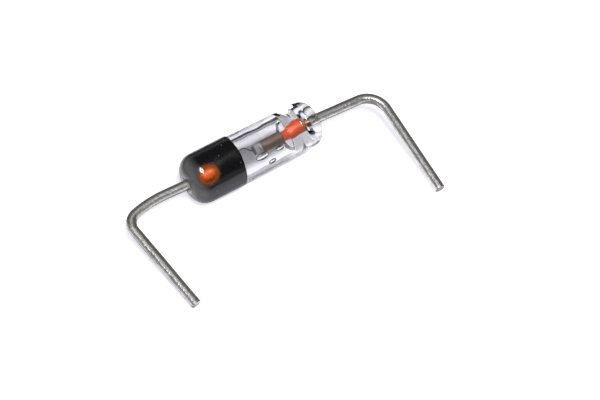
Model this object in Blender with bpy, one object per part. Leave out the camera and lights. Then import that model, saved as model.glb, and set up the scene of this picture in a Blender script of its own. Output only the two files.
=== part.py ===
"""Point-contact germanium diode in a glass tube, with both leads bent to one side.

The tube lies along X with its painted end at -X and its clear end at +X. The leads point to -Y and
slope down, so that the body and both cut ends rest on Z = 0. The origin is under the middle of the
whole part.

Places along the tube are measured from the glass's painted end, towards the clear end.
"""

from math import asin, atan2, cos, hypot, pi, radians, sin, sqrt

import bmesh
import bpy
from mathutils import Vector

MM = 0.001

# Glass tube
GLASS_LENGTH = 8.56 * MM
GLASS_RADIUS = 1.46 * MM
CLEAR_END_RADIUS = 1.42 * MM
BORE_RADIUS = 1.05 * MM
DOME_ROUNDING = 0.92 * MM
DIMPLE_RADIUS = 0.5 * MM
DIMPLE_DEPTH = 0.18 * MM
TAPER_START = 3.6 * MM

# Clear end: a flame-drawn neck, then a rounded lip melted in round a hollow
LIP_LENGTH = 0.78 * MM
LIP_ROUNDING = 0.72 * MM
MOUTH_ROUNDING = 0.05 * MM
RECESS_DEPTH = 0.75 * MM
RECESS_RADIUS = 0.6 * MM
NECK_LENGTH = 1.26 * MM
NECK_RAMP = 0.33 * MM
NECK_DEPTH = 0.34 * MM
NECK_DEPTH_FAR_SIDE = 0.08 * MM
NECK_SIDE = radians(30.0)
NECK_BORE_RADIUS = 0.8 * MM
LIP_SHOULDER = 0.2 * MM

# Glass beads and the wires sealed in them
CLEARANCE = 0.01 * MM
CLEAR_BEAD_LENGTH = 1.56 * MM
PAINTED_BEAD_LENGTH = 1.9 * MM
BEAD_ROUNDING = 0.16 * MM
BEAD_CREEP = 0.2 * MM
SEAL_WIRE_RADIUS = 0.275 * MM
PAINTED_WELD_DEPTH = 0.45 * MM
CLEAR_WELD_DEPTH = 0.06 * MM
PAINTED_WIRE_SHARE = 0.4

# Crystal and the post that holds it, which stands on the bead round the seal wire
POST_RADIUS = 0.37 * MM
POST_FLOOR = 0.24 * MM
POST_CHAMFER = 0.03 * MM
SOLDER_RADIUS = 0.36 * MM
SOLDER_FACE_RADIUS = 0.32 * MM
SOLDER_THICKNESS = 0.14 * MM
CRYSTAL_WIDTH = 0.56 * MM
CRYSTAL_THICKNESS = 0.28 * MM
CRYSTAL_CHAMFER = 0.03 * MM

# Whisker
WHISKER_LENGTH = 1.7 * MM
WHISKER_RADIUS = 0.035 * MM
WHISKER_SWING = 0.43 * MM
WHISKER_RISE = 0.75 * MM
WHISKER_FALL = 0.5 * MM
WHISKER_SIDE = radians(30.0)
WHISKER_POINT_LENGTH = 0.12 * MM
WHISKER_TIP_RADIUS = 0.012 * MM
WELD_LUMP_RADIUS = 0.15 * MM
WELD_LUMP_HEIGHT = 0.14 * MM

# Lacquer
COAT_THICKNESS = 0.06 * MM
COAT_LENGTH = 3.22 * MM
COAT_EDGE_ROUNDING = 0.03 * MM
WINDOW_FROM_END = 1.46 * MM
WINDOW_LENGTH = 1.38 * MM
WINDOW_WIDTH = 1.24 * MM
WINDOW_SIDE = radians(124.0)
WINDOW_LEAN = radians(18.0)

# Leads
LEAD_RADIUS = 0.3 * MM
EXIT_LENGTH = 0.03 * MM
PAINTED_STUB = 1.25 * MM
PAINTED_LEAN = radians(-3.0)
PAINTED_EASE_RADIUS = 6.95 * MM
PAINTED_EASE_ANGLE = radians(17.5)
PAINTED_BEND_RADIUS = 0.79 * MM
PAINTED_BEND_ANGLE = radians(83.2)
PAINTED_LEG = 5.61 * MM
CLEAR_STUB = 2.97 * MM
CLEAR_LEAN = radians(3.6)
CLEAR_BEND_RADIUS = 1.25 * MM
CLEAR_BEND_ANGLE = radians(88.6)
CLEAR_LEG = 6.0 * MM

# Facets
TUBE_SEGMENTS = 48
WIRE_SEGMENTS = 24
FINE_SEGMENTS = 10
DEGREES_PER_BEND_STEP = 6.0
MERGE_DISTANCE = 0.0001 * MM

# Sizes that follow from the ones above
COAT_RADIUS = GLASS_RADIUS + CLEARANCE + COAT_THICKNESS
COAT_END = CLEARANCE + COAT_THICKNESS
AXIS_HEIGHT = COAT_RADIUS
BEAD_RADIUS = BORE_RADIUS - CLEARANCE
CLEAR_BEAD_END = GLASS_LENGTH - RECESS_DEPTH
CLEAR_BEAD_START = CLEAR_BEAD_END - CLEAR_BEAD_LENGTH
CLEAR_WELD = CLEAR_BEAD_END + BEAD_CREEP - CLEAR_WELD_DEPTH
NECK_END = GLASS_LENGTH - LIP_LENGTH
NECK_START = NECK_END - NECK_LENGTH

# The mechanism, chained from the painted end's wire; the two wires share the room it leaves
MECHANISM_LENGTH = (WHISKER_LENGTH + CRYSTAL_THICKNESS + SOLDER_THICKNESS + POST_FLOOR
                    + 6.0 * CLEARANCE)
SPARE_ROOM = CLEAR_BEAD_START - PAINTED_BEAD_LENGTH - MECHANISM_LENGTH
PAINTED_WIRE_END = PAINTED_BEAD_LENGTH + PAINTED_WIRE_SHARE * SPARE_ROOM
WELD_LUMP_START = PAINTED_WIRE_END + CLEARANCE
WHISKER_START = WELD_LUMP_START + CLEARANCE
CRYSTAL_START = WHISKER_START + WHISKER_LENGTH + CLEARANCE
SOLDER_START = CRYSTAL_START + CRYSTAL_THICKNESS + CLEARANCE
POST_START = SOLDER_START + SOLDER_THICKNESS + CLEARANCE
POST_END = CLEAR_BEAD_START - CLEARANCE
CLEAR_WIRE_START = POST_START + POST_FLOOR + CLEARANCE


def clear_scene():
    for item in list(bpy.data.objects):
        bpy.data.objects.remove(item, do_unlink=True)


def make_material(name, colour, roughness, metallic=0.0, transmission=0.0):
    material = bpy.data.materials.new(name)
    material.use_nodes = True
    shader = material.node_tree.nodes["Principled BSDF"]
    shader.inputs["Base Color"].default_value = (*colour, 1.0)
    shader.inputs["Roughness"].default_value = roughness
    shader.inputs["Metallic"].default_value = metallic
    shader.inputs["Transmission Weight"].default_value = transmission
    material.diffuse_color = (*colour, 1.0)
    return material


def make_empty(name, parent=None):
    empty = bpy.data.objects.new(name, None)
    bpy.context.scene.collection.objects.link(empty)
    empty.parent = parent
    return empty


def finish_object(name, bm, material, parent):
    """Close a bmesh into a named, smooth-shaded object under its parent."""
    bmesh.ops.remove_doubles(bm, verts=bm.verts[:], dist=MERGE_DISTANCE)
    bmesh.ops.recalc_face_normals(bm, faces=bm.faces[:])
    mesh = bpy.data.meshes.new(name)
    bm.to_mesh(mesh)
    bm.free()
    mesh.shade_smooth()
    mesh.set_sharp_from_angle(angle=radians(35.0))
    if material:
        mesh.materials.append(material)
    item = bpy.data.objects.new(name, mesh)
    bpy.context.scene.collection.objects.link(item)
    item.parent = parent
    return item


def arc(centre, radius, start, end, steps):
    """Points (radius, place) on a circular arc of a turned profile, ends included."""
    points = []
    for step in range(steps + 1):
        angle = start + (end - start) * step / steps
        points.append((centre[0] + radius * cos(angle), centre[1] + radius * sin(angle)))
    return points


def turned(name, profile, material, parent, segments=TUBE_SEGMENTS, reshape=None):
    """Turn a profile of (radius, place) points about the local Z axis.

    A profile that keeps off the axis is closed into a ring, and one that starts and ends on it
    becomes a solid.
    """
    bm = bmesh.new()
    verts = [bm.verts.new((radius, 0.0, place)) for radius, place in profile]
    edges = [bm.edges.new(pair) for pair in zip(verts, verts[1:])]
    if profile[0][0] > 0.0:
        edges.append(bm.edges.new((verts[-1], verts[0])))
    bmesh.ops.spin(bm, geom=verts + edges, axis=(0.0, 0.0, 1.0), cent=(0.0, 0.0, 0.0),
                   steps=segments, angle=2.0 * pi, use_merge=True)
    if reshape:
        for vert in bm.verts:
            reshape(vert)
    return finish_object(name, bm, material, parent)


def swept(name, path, radii, material, parent, segments):
    """Sweep a circle along a path in the local XY plane; path holds (point, heading) pairs."""
    bm = bmesh.new()
    rings = []
    for (x, y, heading), radius in zip(path, radii):
        ring = []
        for step in range(segments):
            angle = 2.0 * pi * step / segments
            across = radius * cos(angle)
            ring.append(bm.verts.new((x - across * sin(heading), y + across * cos(heading),
                                      radius * sin(angle))))
        rings.append(ring)
    for ring, following in zip(rings, rings[1:]):
        for step in range(segments):
            after = (step + 1) % segments
            bm.faces.new((ring[step], ring[after], following[after], following[step]))
    bm.faces.new(rings[0])
    bm.faces.new(rings[-1])
    return finish_object(name, bm, material, parent)


def side_angle(vert):
    """Angle of a point round the tube: 0 towards +Y, a quarter turn towards +Z."""
    return atan2(-vert.co.x, vert.co.y)


def dome_place(radius, rounding, full_radius, end):
    """Place of the dome's surface at a radius, for a dome that starts at end."""
    inner = full_radius - rounding
    if radius <= inner:
        return end
    return end + rounding - sqrt(rounding ** 2 - (radius - inner) ** 2)


def dome_arc(full_radius, rounding, end, from_radius, steps):
    """Dome profile from a radius near the axis out to the full radius."""
    centre = (full_radius - rounding, end + rounding)
    start = asin(min(1.0, max(0.0, (from_radius - centre[0]) / rounding))) - pi / 2.0
    return arc(centre, rounding, start, 0.0, steps)


def dimple_slope(end, inner_radius):
    """Bowl round the lead in a dome that starts at end, from the lead's side outwards."""
    middle = (DIMPLE_RADIUS + inner_radius) / 2.0
    return [(inner_radius, end + DIMPLE_DEPTH), (middle, end + DIMPLE_DEPTH / 2.0),
            (DIMPLE_RADIUS, end)]


def ramp(distance, length):
    """Smooth rise from 0 to 1 over a length."""
    share = min(1.0, max(0.0, distance / length))
    return share * share * (3.0 - 2.0 * share)


def draw_neck_in(vert):
    """Draw the tube's outside in at the neck, deeper on the side that the flame came from."""
    radius = hypot(vert.co.x, vert.co.y)
    if radius < BORE_RADIUS + CLEARANCE:
        return
    place = vert.co.z
    share = ramp(place - NECK_START, NECK_RAMP) * ramp(NECK_END - place, NECK_RAMP)
    near = ((1.0 + cos(side_angle(vert) - NECK_SIDE)) / 2.0) ** 2
    depth = NECK_DEPTH_FAR_SIDE + (NECK_DEPTH - NECK_DEPTH_FAR_SIDE) * near
    vert.co.x *= 1.0 - share * depth / radius
    vert.co.y *= 1.0 - share * depth / radius


def neck_bore(gap):
    """Inside of the neck and lip, drawn in round the bead, from the recess inwards."""
    return [(RECESS_RADIUS - gap, CLEAR_BEAD_END),
            (NECK_BORE_RADIUS - gap, CLEAR_BEAD_END - LIP_SHOULDER),
            (NECK_BORE_RADIUS - gap, NECK_START + NECK_RAMP),
            (BORE_RADIUS - gap, NECK_START)]


def glass_tube(material, axis):
    outer = dome_arc(GLASS_RADIUS, DOME_ROUNDING, 0.0, BORE_RADIUS, 8)
    outer.append((GLASS_RADIUS, TAPER_START))
    steps = 13
    for step in range(steps + 1):
        outer.append((CLEAR_END_RADIUS, NECK_START + NECK_LENGTH * step / steps))
    outer += arc((CLEAR_END_RADIUS - LIP_ROUNDING, GLASS_LENGTH - LIP_ROUNDING), LIP_ROUNDING,
                 0.0, pi / 2.0, 10)
    mouth = arc((RECESS_RADIUS + MOUTH_ROUNDING, GLASS_LENGTH - MOUTH_ROUNDING), MOUTH_ROUNDING,
                pi / 2.0, pi, 2)
    return turned("glass_tube", outer + mouth + neck_bore(0.0), material, axis,
                  reshape=draw_neck_in)


def stepped_bore(outer_end, weld, inner_end):
    """Bore of a bead, wide where the lead enters and narrow along the seal wire."""
    lead_bore = LEAD_RADIUS + CLEARANCE
    wire_bore = SEAL_WIRE_RADIUS + CLEARANCE
    return [(lead_bore, outer_end), (lead_bore, weld), (wire_bore, weld), (wire_bore, inner_end)]


def painted_end_bead(material, axis):
    weld = PAINTED_WELD_DEPTH
    shoulder = arc((BEAD_RADIUS - BEAD_ROUNDING, PAINTED_BEAD_LENGTH - BEAD_ROUNDING),
                   BEAD_ROUNDING, pi / 2.0, 0.0, 4)
    cap = []
    steps = 4
    flat = max(GLASS_RADIUS - DOME_ROUNDING, DIMPLE_RADIUS + CLEARANCE)
    for step in range(steps + 1):
        radius = BEAD_RADIUS + (flat - BEAD_RADIUS) * step / steps
        cap.append((radius, dome_place(radius, DOME_ROUNDING, GLASS_RADIUS, 0.0)))
    dimple = dimple_slope(0.0, LEAD_RADIUS + CLEARANCE)[:0:-1]
    profile = stepped_bore(DIMPLE_DEPTH, weld, PAINTED_BEAD_LENGTH) + shoulder + cap + dimple
    return turned("painted_end_bead", profile, material, axis)


def clear_end_bead(material, axis):
    """Bead whose glass has crept a little way out along the lead."""
    shoulder = arc((BEAD_RADIUS - BEAD_ROUNDING, CLEAR_BEAD_START + BEAD_ROUNDING),
                   BEAD_ROUNDING, -pi / 2.0, 0.0, 4)
    tip = CLEAR_BEAD_END + BEAD_CREEP
    profile = stepped_bore(tip, CLEAR_WELD, CLEAR_BEAD_START) + shoulder
    profile += neck_bore(CLEARANCE)[::-1]
    return turned("clear_end_bead", profile, material, axis)


def rod(name, radius, start, end, material, axis):
    profile = [(0.0, start), (radius, start), (radius, end), (0.0, end)]
    return turned(name, profile, material, axis, segments=WIRE_SEGMENTS)


def crystal_holder(material, axis):
    """Post with a flat floor towards the crystal, bored from the bead's side for the wire."""
    bore = SEAL_WIRE_RADIUS + CLEARANCE
    floor = POST_START + POST_FLOOR
    chamfer = POST_CHAMFER
    profile = [(0.0, POST_START), (POST_RADIUS - chamfer, POST_START),
               (POST_RADIUS, POST_START + chamfer), (POST_RADIUS, POST_END - chamfer),
               (POST_RADIUS - chamfer, POST_END), (bore, POST_END), (bore, floor), (0.0, floor)]
    return turned("crystal_holder", profile, material, axis, segments=WIRE_SEGMENTS)


def crystal_solder(material, axis):
    start = SOLDER_START
    end = SOLDER_START + SOLDER_THICKNESS
    swell = (SOLDER_FACE_RADIUS + SOLDER_RADIUS) / 2.0
    profile = [(0.0, start), (SOLDER_FACE_RADIUS, start), (swell, start + SOLDER_THICKNESS / 4.0),
               (SOLDER_RADIUS, end - SOLDER_THICKNESS / 4.0), (SOLDER_RADIUS, end), (0.0, end)]
    return turned("crystal_solder", profile, material, axis, segments=WIRE_SEGMENTS)


def germanium_crystal(material, axis):
    bm = bmesh.new()
    bmesh.ops.create_cube(bm, size=1.0)
    bmesh.ops.scale(bm, vec=(CRYSTAL_WIDTH, CRYSTAL_WIDTH, CRYSTAL_THICKNESS), verts=bm.verts[:])
    bmesh.ops.bevel(bm, geom=bm.edges[:], offset=CRYSTAL_CHAMFER, segments=1, affect="EDGES")
    crystal = finish_object("germanium_crystal", bm, material, axis)
    crystal.location.z = CRYSTAL_START + CRYSTAL_THICKNESS / 2.0
    crystal.rotation_euler.z = WINDOW_SIDE
    return crystal


def contact_whisker(material, axis):
    """Fine sprung wire that bows to one side and comes down on the crystal with its point."""
    steps = 36
    path = []
    radii = []
    for step in range(steps + 1):
        from_weld = WHISKER_LENGTH * step / steps
        from_tip = WHISKER_LENGTH - from_weld
        offset = WHISKER_SWING * ramp(from_weld - WELD_LUMP_HEIGHT, WHISKER_RISE)
        offset *= ramp(from_tip, WHISKER_FALL)
        path.append([WHISKER_START + from_weld, offset, 0.0])
        taper = min(1.0, from_tip / WHISKER_POINT_LENGTH)
        radii.append(WHISKER_TIP_RADIUS + (WHISKER_RADIUS - WHISKER_TIP_RADIUS) * taper)
    for index, point in enumerate(path):
        before = path[max(index - 1, 0)]
        after = path[min(index + 1, steps)]
        point[2] = atan2(after[1] - before[1], after[0] - before[0])
    whisker = swept("contact_whisker", path, radii, material, axis, FINE_SEGMENTS)
    whisker.rotation_euler = (0.0, -pi / 2.0, WHISKER_SIDE)
    return whisker


def whisker_weld(material, axis):
    bore = WHISKER_RADIUS + CLEARANCE
    start = WELD_LUMP_START
    profile = [(bore, start), (WELD_LUMP_RADIUS, start)]
    steps = 5
    for step in range(1, steps + 1):
        angle = pi / 2.0 * step / steps
        radius = bore + (WELD_LUMP_RADIUS - bore) * cos(angle)
        profile.append((radius, start + WELD_LUMP_HEIGHT * sin(angle)))
    return turned("whisker_weld", profile, material, axis, segments=WIRE_SEGMENTS)


def window_cutter(axis):
    """Oval bar that lets the seal show through the lacquer on the dome's shoulder."""
    bm = bmesh.new()
    bmesh.ops.create_cone(bm, cap_ends=True, segments=32, radius1=0.5, radius2=0.5, depth=1.0)
    length = 2.0 * COAT_RADIUS
    bmesh.ops.scale(bm, vec=(WINDOW_WIDTH, WINDOW_LENGTH, length), verts=bm.verts[:])
    bmesh.ops.translate(bm, vec=(0.0, 0.0, length / 2.0), verts=bm.verts[:])
    cutter = finish_object("lacquer_window_cutter", bm, None, axis)
    outward = Vector((-sin(WINDOW_SIDE), cos(WINDOW_SIDE), 0.0)) * cos(WINDOW_LEAN)
    outward.z = -sin(WINDOW_LEAN)
    cutter.rotation_euler = outward.to_track_quat("Z", "Y").to_euler()
    cutter.location.z = WINDOW_FROM_END
    cutter.hide_render = True
    cutter.display_type = "WIRE"
    return cutter


def black_lacquer_coat(material, axis):
    """Lacquer skin that follows the glass's dome and the dimple round the lead."""
    gap = CLEARANCE
    exit_radius = LEAD_RADIUS + CLEARANCE
    inside = dimple_slope(-gap, exit_radius)
    inside += dome_arc(GLASS_RADIUS + gap, DOME_ROUNDING + gap, -gap, 0.0, 8)
    outside = dimple_slope(-COAT_END, exit_radius)
    outside += dome_arc(COAT_RADIUS, DOME_ROUNDING + COAT_END, -COAT_END, 0.0, 8)
    edge = COAT_EDGE_ROUNDING
    profile = inside + [(GLASS_RADIUS + gap, COAT_LENGTH)]
    profile += [(COAT_RADIUS - edge, COAT_LENGTH), (COAT_RADIUS, COAT_LENGTH - edge)]
    profile += outside[::-1]
    coat = turned("black_lacquer_coat", profile, material, axis)
    cut = coat.modifiers.new("window", "BOOLEAN")
    cut.operation = "DIFFERENCE"
    cut.solver = "EXACT"
    cut.object = window_cutter(axis)
    return coat


def bent_path(embedded, sections):
    """Centre line of a lead: into the glass by embedded, then runs and bends outwards.

    A section is ("run", length), ("turn", angle) or ("bend", radius, angle).
    """
    x, y, heading = 0.0, 0.0, 0.0
    points = [(-embedded, 0.0, 0.0), (0.0, 0.0, 0.0)]
    for section in sections:
        if section[0] == "turn":
            heading += section[1]
            points[-1] = (x, y, heading / 2.0)
        elif section[0] == "run":
            x += section[1] * cos(heading)
            y += section[1] * sin(heading)
            points.append((x, y, heading))
        else:
            radius, angle = section[1:]
            steps = max(2, round(abs(angle) / radians(DEGREES_PER_BEND_STEP)))
            chord = 2.0 * radius * sin(angle / steps / 2.0)
            for step in range(steps):
                middle = heading + angle / steps / 2.0
                x += chord * cos(middle)
                y += chord * sin(middle)
                heading += angle / steps
                points.append((x, y, heading))
    return points


def painted_lead_path():
    return bent_path(COAT_END + PAINTED_WELD_DEPTH - CLEARANCE, [
        ("run", EXIT_LENGTH),
        ("turn", PAINTED_LEAN),
        ("run", PAINTED_STUB),
        ("bend", PAINTED_EASE_RADIUS, PAINTED_EASE_ANGLE),
        ("bend", PAINTED_BEND_RADIUS, PAINTED_BEND_ANGLE),
        ("run", PAINTED_LEG),
    ])


def clear_lead_path():
    return bent_path(GLASS_LENGTH - CLEAR_WELD - CLEARANCE, [
        ("run", EXIT_LENGTH),
        ("turn", CLEAR_LEAN),
        ("run", CLEAR_STUB),
        ("bend", CLEAR_BEND_RADIUS, CLEAR_BEND_ANGLE),
        ("run", CLEAR_LEG),
    ])


def dip(path):
    """Slope that brings the cut end's lowest point down to the surface."""
    reach = path[-1][1]
    return asin(AXIS_HEIGHT / hypot(reach, LEAD_RADIUS)) - atan2(LEAD_RADIUS, reach)


def lead(name, path, material, root, exit_place, rotation):
    radii = [LEAD_RADIUS] * len(path)
    wire = swept(name, path, radii, material, root, WIRE_SEGMENTS)
    wire.location = (exit_place, 0.0, AXIS_HEIGHT)
    wire.rotation_euler = rotation
    return wire


def middle_of_part(painted_path, clear_path):
    """Middle of the part in X and Y, with X measured from the glass's painted end."""
    low_x = -COAT_END - max(point[0] for point in painted_path) - LEAD_RADIUS
    high_x = GLASS_LENGTH + max(point[0] for point in clear_path) + LEAD_RADIUS
    reach = max(path[-1][1] * cos(dip(path)) for path in (painted_path, clear_path))
    return (low_x + high_x) / 2.0, (COAT_RADIUS - reach) / 2.0


def build():
    clear_scene()
    glass = make_material("clear_glass", (0.93, 0.96, 0.95), 0.03, transmission=1.0)
    bead_glass = make_material("bead_glass", (0.9, 0.94, 0.93), 0.03, transmission=1.0)
    seal = make_material("copper_clad_wire", (0.76, 0.2, 0.06), 0.35, metallic=0.6)
    tinned = make_material("tinned_steel", (0.46, 0.45, 0.43), 0.35, metallic=1.0)
    nickel = make_material("nickel_cup", (0.42, 0.36, 0.31), 0.4, metallic=1.0)
    solder = make_material("soft_solder", (0.55, 0.54, 0.52), 0.45, metallic=1.0)
    germanium = make_material("germanium", (0.28, 0.27, 0.3), 0.25, metallic=1.0)
    spring = make_material("whisker_wire", (0.5, 0.44, 0.34), 0.3, metallic=1.0)
    lacquer = make_material("black_lacquer", (0.012, 0.011, 0.012), 0.12)

    painted_path = painted_lead_path()
    clear_path = clear_lead_path()
    middle_x, middle_y = middle_of_part(painted_path, clear_path)

    root = make_empty("diode_root")
    root.location = (-middle_x, -middle_y, 0.0)
    axis = make_empty("tube_axis", root)
    axis.location = (0.0, 0.0, AXIS_HEIGHT)
    axis.rotation_euler = (0.0, pi / 2.0, 0.0)

    glass_tube(glass, axis)
    painted_end_bead(bead_glass, axis)
    clear_end_bead(bead_glass, axis)
    rod("painted_end_seal_wire", SEAL_WIRE_RADIUS, PAINTED_WELD_DEPTH, PAINTED_WIRE_END, seal, axis)
    rod("clear_end_seal_wire", SEAL_WIRE_RADIUS, CLEAR_WIRE_START, CLEAR_WELD, seal, axis)
    crystal_holder(nickel, axis)
    crystal_solder(solder, axis)
    germanium_crystal(germanium, axis)
    contact_whisker(spring, axis)
    whisker_weld(solder, axis)
    black_lacquer_coat(lacquer, axis)
    lead("painted_end_lead", painted_path, tinned, root, -COAT_END, (-dip(painted_path), 0.0, pi))
    lead("clear_end_lead", clear_path, tinned, root, GLASS_LENGTH, (pi + dip(clear_path), 0.0, 0.0))


build()
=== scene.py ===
"""Germanium diode in a glass tube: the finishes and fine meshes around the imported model.

The tube lies along X, painted end at -X. Both leads point to -Y and touch the surface at Z = 0.
"""

from math import asin, atan2, cos, exp, hypot, pi, radians, sin

import bmesh
import bpy
from bpy.props import FloatProperty, FloatVectorProperty, IntProperty, PointerProperty
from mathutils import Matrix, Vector, noise


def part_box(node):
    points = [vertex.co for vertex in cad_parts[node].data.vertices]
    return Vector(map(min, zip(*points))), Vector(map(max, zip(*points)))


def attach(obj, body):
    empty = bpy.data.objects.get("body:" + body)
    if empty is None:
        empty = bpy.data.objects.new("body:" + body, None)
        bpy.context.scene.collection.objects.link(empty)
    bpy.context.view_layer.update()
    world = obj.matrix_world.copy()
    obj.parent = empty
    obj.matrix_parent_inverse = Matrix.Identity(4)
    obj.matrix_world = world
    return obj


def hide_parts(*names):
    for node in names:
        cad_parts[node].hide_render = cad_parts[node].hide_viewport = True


bl_info = {
    "name": "Germanium Diode",
    "version": (1, 0, 0),
    "blender": (4, 5, 0),
    "location": "View3D > Sidebar > Diode",
    "description": "Builds the glass, lacquer, leads and stage of a point-contact diode",
    "category": "Add Mesh",
}

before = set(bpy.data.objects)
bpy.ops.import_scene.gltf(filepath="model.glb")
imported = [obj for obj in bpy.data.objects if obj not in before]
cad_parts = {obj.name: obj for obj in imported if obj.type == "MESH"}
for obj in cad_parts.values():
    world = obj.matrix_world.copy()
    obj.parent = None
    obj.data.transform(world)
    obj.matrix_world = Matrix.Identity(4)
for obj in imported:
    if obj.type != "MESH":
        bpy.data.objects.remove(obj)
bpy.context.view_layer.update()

MM = 0.001
COAT_LOW, COAT_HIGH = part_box("black_lacquer_coat")
PAINTED_BEAD_LOW, PAINTED_BEAD_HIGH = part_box("painted_end_bead")
CLEAR_BEAD_LOW, CLEAR_BEAD_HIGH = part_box("clear_end_bead")
AXIS_Y = (COAT_LOW.y + COAT_HIGH.y) / 2.0
AXIS_Z = (COAT_LOW.z + COAT_HIGH.z) / 2.0
PAINTED_GLASS_END = PAINTED_BEAD_LOW.x
COAT_RADIUS = (COAT_HIGH.z - COAT_LOW.z) / 2.0
CLEARANCE = 0.01 * MM
BORE_RADIUS = (PAINTED_BEAD_HIGH.z - PAINTED_BEAD_LOW.z) / 2.0 + CLEARANCE
WELD_DISTANCE = 0.00005 * MM

INNER_NODES = ("painted_end_seal_wire", "clear_end_seal_wire", "crystal_holder", "crystal_solder",
               "germanium_crystal", "contact_whisker", "whisker_weld")

# Bubbles in the glass wall: place from the dome, side, half length and half width, in mm and
# degrees. All lie at one radius and have one half height.
BUBBLES = ((4.38, 145.5, 0.45, 0.2), (5.56, 147.0, 0.3, 0.14), (4.90, 173.0, 0.25, 0.15))
BUBBLE_RADIUS = 1.25 * MM
BUBBLE_HALF_HEIGHT = 0.13 * MM

# Edges of the light and dark bands on the table: Y from the tube's axis, in mm
SHADE_FRONT, SHADE_BACK = (-2.8, -2.2), (-0.8, -0.5)
GATHERED_BACK = (0.4, -0.5)
MIRRORED_BACK = (2.0, 5.0)
CONTACT_FRONT, CONTACT_BACK = (-1.0, -0.75), (0.0, 1.0)

# A ray that has passed more glass surfaces than this has been through the bore
BORE_SURFACES = 2.5

LAMP_PLACE = (-0.05, -0.045, 0.4)
TABLE_LAMP_PLACE = (0.01, -0.17, 0.4)
TABLE_HALF_SIZE = 0.6


def length_property(name, description, millimetres):
    return FloatProperty(name=name, description=description, default=millimetres * MM,
                         min=0.0, subtype="DISTANCE", unit="LENGTH", precision=5)


def angle_property(name, description, degrees):
    return FloatProperty(name=name, description=description, default=radians(degrees),
                         subtype="ANGLE", unit="ROTATION")


def colour_property(name, description, default):
    return FloatVectorProperty(name=name, description=description, default=default, size=3,
                               min=0.0, max=1.0, subtype="COLOR")


def amount_property(name, description, default, unit="NONE"):
    return FloatProperty(name=name, description=description, default=default, min=0.0, unit=unit)


class DiodeGlassSettings(bpy.types.PropertyGroup):
    """Sizes and colour of the fused glass."""

    radius: length_property("Radius", "Outer radius of the glass at the painted half", 1.46)
    clear_radius: length_property("Clear end radius", "Outer radius beside the neck", 1.42)
    dome_rounding: length_property("Dome rounding", "Corner radius of the domed end", 0.92)
    dimple_radius: length_property("Dimple radius", "Radius of the bowl in the dome", 0.5)
    dimple_depth: length_property("Dimple depth", "Depth of the bowl in the dome", 0.18)
    taper_start: length_property("Taper start", "Where the outside starts to narrow", 3.6)
    length: length_property("Length", "Length of the glass from dome to dome", 8.56)
    end_rounding: length_property("End rounding", "Corner radius of the clear end", 0.72)
    recess_depth: length_property("Recess depth", "Depth of the hollow round the lead", 0.75)
    neck_start: length_property("Neck start", "Where the neck begins", 6.52)
    neck_length: length_property("Neck length", "Length of the drawn neck", 1.26)
    neck_ramp: length_property("Neck ramp", "Length of the slopes at the neck's ends", 0.5)
    neck_depth: length_property("Neck depth", "Depth of the neck on the flame's side", 0.34)
    neck_depth_far: length_property("Neck depth, far side", "Depth on the other side", 0.08)
    neck_side: angle_property("Neck side", "Direction that the flame came from", 30.0)
    bead_bulge: length_property("Bead bulge", "How far a bead bulges into the cavity", 0.22)
    bead_tilt: length_property("Bead tilt", "How far a bead's face slants from side to side", 0.1)
    ripple: length_property("Ripple", "Unevenness of the fire-polished surface", 0.03)
    bore_ripple: length_property("Bore ripple", "Unevenness of the bore", 0.02)
    bore_narrowing: length_property("Bore narrowing", "How much narrower the fused bore is", 0.02)
    bore_shift: length_property("Bore shift", "How far the bore lies off the middle", 0.06)
    mouth_radius: length_property("Mouth radius", "Radius of the hollow at its mouth", 0.85)
    seat_radius: length_property("Seat radius", "Radius of the glass's seat on the lead", 0.3)
    drop_place: length_property("Drop place", "Where a drop stands out over the seal", 6.47)
    drop_side: angle_property("Drop side", "Side of the tube that the drop is on", 119.0)
    drop_height: length_property("Drop height", "Height of the drop", 0.035)
    drop_width: length_property("Drop width", "Width of the drop", 0.13)
    colour: colour_property("Colour", "Tint of the glass", (0.97, 0.985, 0.98))
    facets: IntProperty(name="Facets", description="Facets round the tube", default=192, min=24)


class DiodeLacquerSettings(bpy.types.PropertyGroup):
    """Sizes and colours of the lacquer skin."""

    window_place: length_property("Window place", "Middle of the bare spot, from the dome", 1.46)
    window_length: length_property("Window length", "Length of the bare spot", 1.38)
    window_width: length_property("Window width", "Width of the bare spot", 1.24)
    window_side: angle_property("Window side", "Side of the tube that the bare spot is on", 124.0)
    window_lean: angle_property("Window lean", "Tilt of the bare spot to the dome", 18.0)
    colour: colour_property("Colour", "Colour of the lacquer", (0.004, 0.0035, 0.004))
    dome_colour: colour_property("Dome colour", "Grey of the domed end", (0.13, 0.13, 0.128))
    # Painted glow: the film colour is the seal's orange glow painted onto the thinning lacquer
    # round the bare spot.
    seal_glow_film_colour: colour_property("Film colour", "Film round the bare spot", (0.34, 0.085, 0.017))
    # Painted highlights: the glint colour makes pale glints in the lacquer round the lead.
    painted_glint_colour: colour_property("Glint colour", "Glints round the lead", (0.95, 0.94, 0.91))
    speck_colour: colour_property("Speck colour", "Specks on the lacquer", (0.16, 0.16, 0.17))
    edge_wave: length_property("Edge wave", "Height of the waves along the edge", 0.035)
    edge_back: length_property("Edge back", "How far the edge stands back", 0.03)
    edge_slant: length_property("Edge slant", "How much further back its low side is", 0.14)
    swell: length_property("Swell", "Unevenness of the skin", 0.012)
    facets: IntProperty(name="Facets", description="Facets round the skin", default=192, min=24)


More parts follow.
